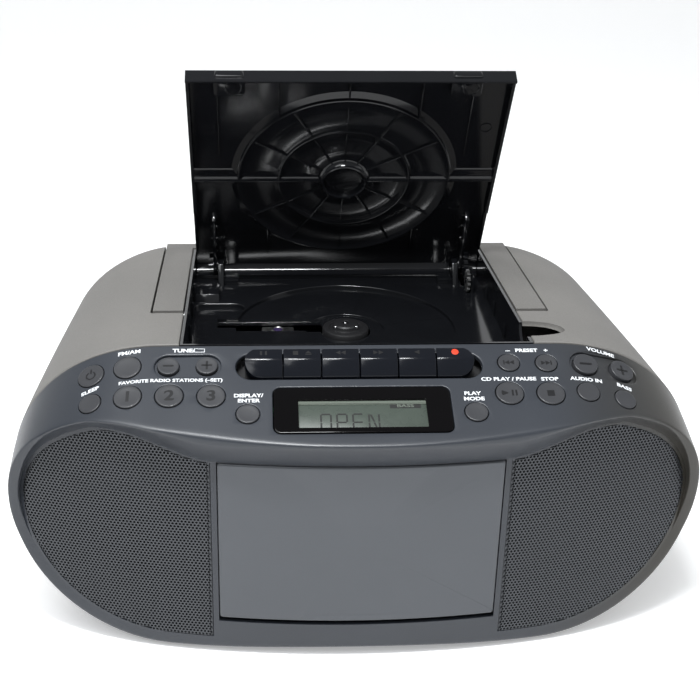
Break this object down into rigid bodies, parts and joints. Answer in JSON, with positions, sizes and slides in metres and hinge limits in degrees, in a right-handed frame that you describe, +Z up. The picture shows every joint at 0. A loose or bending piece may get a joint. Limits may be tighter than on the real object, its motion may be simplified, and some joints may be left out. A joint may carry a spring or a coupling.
{
  "type": "portable CD radio cassette player",
  "caption": "Portable CD, radio and cassette player with open hinged disc lid, bottom-hinged tape door, piano keys, round buttons, side speakers and folding carrying handle.",
  "frame": {"origin": "on the standing surface, under the middle of the whole outline, folded antenna included", "axes": "+Z up, -Y towards the listener, +X to the right of the front"},
  "size_m": [0.35, 0.2382, 0.2725],
  "materials": {
    "front_shell": "satin fine grain, blue charcoal",
    "rear_shell": "matte textured warm grey",
    "bay_black": "gloss black",
    "lid_black": "gloss black",
    "door_gunmetal": "satin gunmetal paint",
    "grille_metal": "perforated steel, dark paint",
    "button_dark": "satin dark grey with gloss rim",
    "key_black": "gloss black",
    "window_black": "clear gloss black window",
    "lcd": "grey-green liquid crystal panel",
    "board_green": "solder-masked circuit board",
    "speaker_black": "paper cone and steel basket",
    "steel": "zinc-plated sheet steel",
    "chrome_tube": "chromed brass tube",
    "white_plastic": "acetal",
    "dark_plastic": "moulded black",
    "rubber": "foot rubber"
  },
  "bodies": {
    "casing": {"front_cabinet": "front_shell", "rear_cabinet": "rear_shell", "cd_bay_tray": "bay_black", "display_window": "window_black", "lcd_module": "lcd", "control_board": "board_green", "speaker_grille_left": "grille_metal", "speaker_grille_right": "grille_metal", "speaker_left": "speaker_black", "speaker_right": "speaker_black", "tape_chassis": "steel", "tape_head": "steel", "cd_mechanism_plate": "dark_plastic", "power_transformer": "steel", "ac_inlet": "dark_plastic", "foot_1": "rubber", "foot_2": "rubber", "foot_3": "rubber", "foot_4": "rubber"},
    "lid": {"cd_lid": "lid_black"},
    "damper": {"lid_damper_gear": "white_plastic"},
    "handle": {"handle": "rear_shell"},
    "door": {"cassette_door": "door_gunmetal", "cassette_holder": "dark_plastic"},
    "spindle": {"cd_spindle": "dark_plastic"},
    "pickup": {"optical_pickup": "dark_plastic"},
    "supply_reel": {"supply_reel_hub": "white_plastic"},
    "takeup_reel": {"takeup_reel_hub": "white_plastic"},
    "capstan": {"capstan": "steel"},
    "battery_door": {"battery_door": "rear_shell"},
    "antenna_base": {"antenna_base": "chrome_tube"},
    "antenna_mast": {"antenna_mast": "chrome_tube"},
    "antenna_middle": {"antenna_middle": "chrome_tube"},
    "antenna_tip": {"antenna_tip": "chrome_tube"},
    "key_pause": {"key_pause": "key_black"},
    "key_stop_eject": {"key_stop_eject": "key_black"},
    "key_rewind": {"key_rewind": "key_black"},
    "key_forward": {"key_forward": "key_black"},
    "key_play": {"key_play": "key_black"},
    "key_record": {"key_record": "key_black"},
    "button_power": {"button_power": "button_dark"},
    "button_sleep": {"button_sleep": "button_dark"},
    "button_band": {"button_band": "button_dark"},
    "button_tune_down": {"button_tune_down": "button_dark"},
    "button_tune_up": {"button_tune_up": "button_dark"},
    "button_memory_1": {"button_memory_1": "button_dark"},
    "button_memory_2": {"button_memory_2": "button_dark"},
    "button_memory_3": {"button_memory_3": "button_dark"},
    "button_display_enter": {"button_display_enter": "button_dark"},
    "button_play_mode": {"button_play_mode": "button_dark"},
    "button_skip_back": {"button_skip_back": "button_dark"},
    "button_skip_forward": {"button_skip_forward": "button_dark"},
    "button_cd_play_pause": {"button_cd_play_pause": "button_dark"},
    "button_cd_stop": {"button_cd_stop": "button_dark"},
    "button_volume_down": {"button_volume_down": "button_dark"},
    "button_volume_up": {"button_volume_up": "button_dark"},
    "button_audio_in": {"button_audio_in": "button_dark"},
    "button_bass": {"button_bass": "button_dark"}
  },
  "joints": [
    {"name": "cd_lid_hinge", "type": "hinge", "parent": "casing", "child": "lid", "pos_m": [0, 0.08815, 0.13866], "axis": [-1, 0, 0], "range_deg": [-57.9, 0], "stiffness_Nm_per_rad": 0.3, "springref_deg": 34.38},
    {"name": "lid_damper_spin", "type": "hinge", "parent": "casing", "child": "damper", "pos_m": [0.07665, 0.06884, 0.13595], "axis": [-1, 0, 0], "range_deg": [-2, 132]},
    {"name": "handle_hinge", "type": "hinge", "parent": "casing", "child": "handle", "pos_m": [0, -0.00535, 0.14522], "axis": [1, 0, 0], "range_deg": [0, 62]},
    {"name": "cassette_door_hinge", "type": "hinge", "parent": "casing", "child": "door", "pos_m": [0, -0.1026, 0.0342], "axis": [1, 0, 0], "range_deg": [0, 35]},
    {"name": "key_pause_slide", "type": "slide", "parent": "casing", "child": "key_pause", "axis": [0, 0.4183, -0.9083], "range_m": [0, 0.0035], "stiffness_N_per_m": 250, "springref_m": -0.001},
    {"name": "key_stop_eject_slide", "type": "slide", "parent": "casing", "child": "key_stop_eject", "axis": [0, 0.4183, -0.9083], "range_m": [0, 0.0035], "stiffness_N_per_m": 250, "springref_m": -0.001},
    {"name": "key_rewind_slide", "type": "slide", "parent": "casing", "child": "key_rewind", "axis": [0, 0.4183, -0.9083], "range_m": [0, 0.0035], "stiffness_N_per_m": 250, "springref_m": -0.001},
    {"name": "key_forward_slide", "type": "slide", "parent": "casing", "child": "key_forward", "axis": [0, 0.4183, -0.9083], "range_m": [0, 0.0035], "stiffness_N_per_m": 250, "springref_m": -0.001},
    {"name": "key_play_slide", "type": "slide", "parent": "casing", "child": "key_play", "axis": [0, 0.4183, -0.9083], "range_m": [0, 0.0035], "stiffness_N_per_m": 250, "springref_m": -0.001},
    {"name": "key_record_slide", "type": "slide", "parent": "casing", "child": "key_record", "axis": [0, 0.4183, -0.9083], "range_m": [0, 0.0035], "stiffness_N_per_m": 250, "springref_m": -0.001},
    {"name": "button_power_slide", "type": "slide", "parent": "casing", "child": "button_power", "axis": [0.3198, 0.3738, -0.8706], "range_m": [0, 0.0011], "stiffness_N_per_m": 300, "springref_m": -0.0006},
    {"name": "button_sleep_slide", "type": "slide", "parent": "casing", "child": "button_sleep", "axis": [0.2851, 0.3832, -0.8785], "range_m": [0, 0.0011], "stiffness_N_per_m": 300, "springref_m": -0.0006},
    {"name": "button_band_slide", "type": "slide", "parent": "casing", "child": "button_band", "axis": [0.1296, 0.4102, -0.9028], "range_m": [0, 0.0011], "stiffness_N_per_m": 300, "springref_m": -0.0006},
    {"name": "button_tune_down_slide", "type": "slide", "parent": "casing", "child": "button_tune_down", "axis": [0, 0.4183, -0.9083], "range_m": [0, 0.0011], "stiffness_N_per_m": 300, "springref_m": -0.0006},
    {"name": "button_tune_up_slide", "type": "slide", "parent": "casing", "child": "button_tune_up", "axis": [0, 0.4183, -0.9083], "range_m": [0, 0.0011], "stiffness_N_per_m": 300, "springref_m": -0.0006},
    {"name": "button_memory_1_slide", "type": "slide", "parent": "casing", "child": "button_memory_1", "axis": [0.1083, 0.4126, -0.9045], "range_m": [0, 0.0011], "stiffness_N_per_m": 300, "springref_m": -0.0006},
    {"name": "button_memory_2_slide", "type": "slide", "parent": "casing", "child": "button_memory_2", "axis": [0, 0.4183, -0.9083], "range_m": [0, 0.0011], "stiffness_N_per_m": 300, "springref_m": -0.0006},
    {"name": "button_memory_3_slide", "type": "slide", "parent": "casing", "child": "button_memory_3", "axis": [0, 0.4183, -0.9083], "range_m": [0, 0.0011], "stiffness_N_per_m": 300, "springref_m": -0.0006},
    {"name": "button_display_enter_slide", "type": "slide", "parent": "casing", "child": "button_display_enter", "axis": [0, 0.4183, -0.9083], "range_m": [0, 0.0011], "stiffness_N_per_m": 300, "springref_m": -0.0006},
    {"name": "button_play_mode_slide", "type": "slide", "parent": "casing", "child": "button_play_mode", "axis": [0, 0.4183, -0.9083], "range_m": [0, 0.0011], "stiffness_N_per_m": 300, "springref_m": -0.0006},
    {"name": "button_skip_back_slide", "type": "slide", "parent": "casing", "child": "button_skip_back", "axis": [0, 0.4183, -0.9083], "range_m": [0, 0.0011], "stiffness_N_per_m": 300, "springref_m": -0.0006},
    {"name": "button_skip_forward_slide", "type": "slide", "parent": "casing", "child": "button_skip_forward", "axis": [0, 0.4183, -0.9083], "range_m": [0, 0.0011], "stiffness_N_per_m": 300, "springref_m": -0.0006},
    {"name": "button_cd_play_pause_slide", "type": "slide", "parent": "casing", "child": "button_cd_play_pause", "axis": [0, 0.4183, -0.9083], "range_m": [0, 0.0011], "stiffness_N_per_m": 300, "springref_m": -0.0006},
    {"name": "button_cd_stop_slide", "type": "slide", "parent": "casing", "child": "button_cd_stop", "axis": [0, 0.4183, -0.9083], "range_m": [0, 0.0011], "stiffness_N_per_m": 300, "springref_m": -0.0006},
    {"name": "button_volume_down_slide", "type": "slide", "parent": "casing", "child": "button_volume_down", "axis": [-0.1193, 0.4113, -0.9036], "range_m": [0, 0.0011], "stiffness_N_per_m": 300, "springref_m": -0.0006},
    {"name": "button_volume_up_slide", "type": "slide", "parent": "casing", "child": "button_volume_up", "axis": [-0.3197, 0.3738, -0.8707], "range_m": [0, 0.0011], "stiffness_N_per_m": 300, "springref_m": -0.0006},
    {"name": "button_audio_in_slide", "type": "slide", "parent": "casing", "child": "button_audio_in", "axis": [-0.0944, 0.4139, -0.9054], "range_m": [0, 0.0011], "stiffness_N_per_m": 300, "springref_m": -0.0006},
    {"name": "button_bass_slide", "type": "slide", "parent": "casing", "child": "button_bass", "axis": [-0.2687, 0.3869, -0.8821], "range_m": [0, 0.0011], "stiffness_N_per_m": 300, "springref_m": -0.0006},
    {"name": "cd_spindle_spin", "type": "hinge", "parent": "casing", "child": "spindle", "pos_m": [0, 0.01715, 0.127], "axis": [0, 0, 1], "continuous": true},
    {"name": "optical_pickup_slide", "type": "slide", "parent": "casing", "child": "pickup", "axis": [1, 0, 0], "range_m": [-0.02, 0.011]},
    {"name": "supply_reel_spin", "type": "hinge", "parent": "casing", "child": "supply_reel", "pos_m": [-0.02125, -0.08165, 0.068], "axis": [0, 1, 0], "continuous": true},
    {"name": "takeup_reel_spin", "type": "hinge", "parent": "casing", "child": "takeup_reel", "pos_m": [0.02125, -0.08165, 0.068], "axis": [0, 1, 0], "continuous": true},
    {"name": "capstan_spin", "type": "hinge", "parent": "casing", "child": "capstan", "pos_m": [0.025, -0.08165, 0.095], "axis": [0, 1, 0], "continuous": true},
    {"name": "battery_door_hinge", "type": "hinge", "parent": "casing", "child": "battery_door", "pos_m": [0, 0.11115, 0.022], "axis": [-1, 0, 0], "range_deg": [0, 75]},
    {"name": "antenna_swivel", "type": "hinge", "parent": "casing", "child": "antenna_base", "pos_m": [0.123, 0.11455, 0.101], "axis": [1, 0, 0], "range_deg": [-20, 90]},
    {"name": "antenna_elbow", "type": "hinge", "parent": "antenna_base", "child": "antenna_mast", "pos_m": [0.123, 0.11455, 0.101], "axis": [0, 0, -1], "range_deg": [0, 90]},
    {"name": "antenna_middle_slide", "type": "slide", "parent": "antenna_mast", "child": "antenna_middle", "axis": [-1, 0, 0], "range_m": [0, 0.15]},
    {"name": "antenna_tip_slide", "type": "slide", "parent": "antenna_middle", "child": "antenna_tip", "axis": [-1, 0, 0], "range_m": [0, 0.15]}
  ],
  "couplings": [
    {"joint": "lid_damper_spin", "follows": "cd_lid_hinge", "ratio": -2.25}
  ]
}
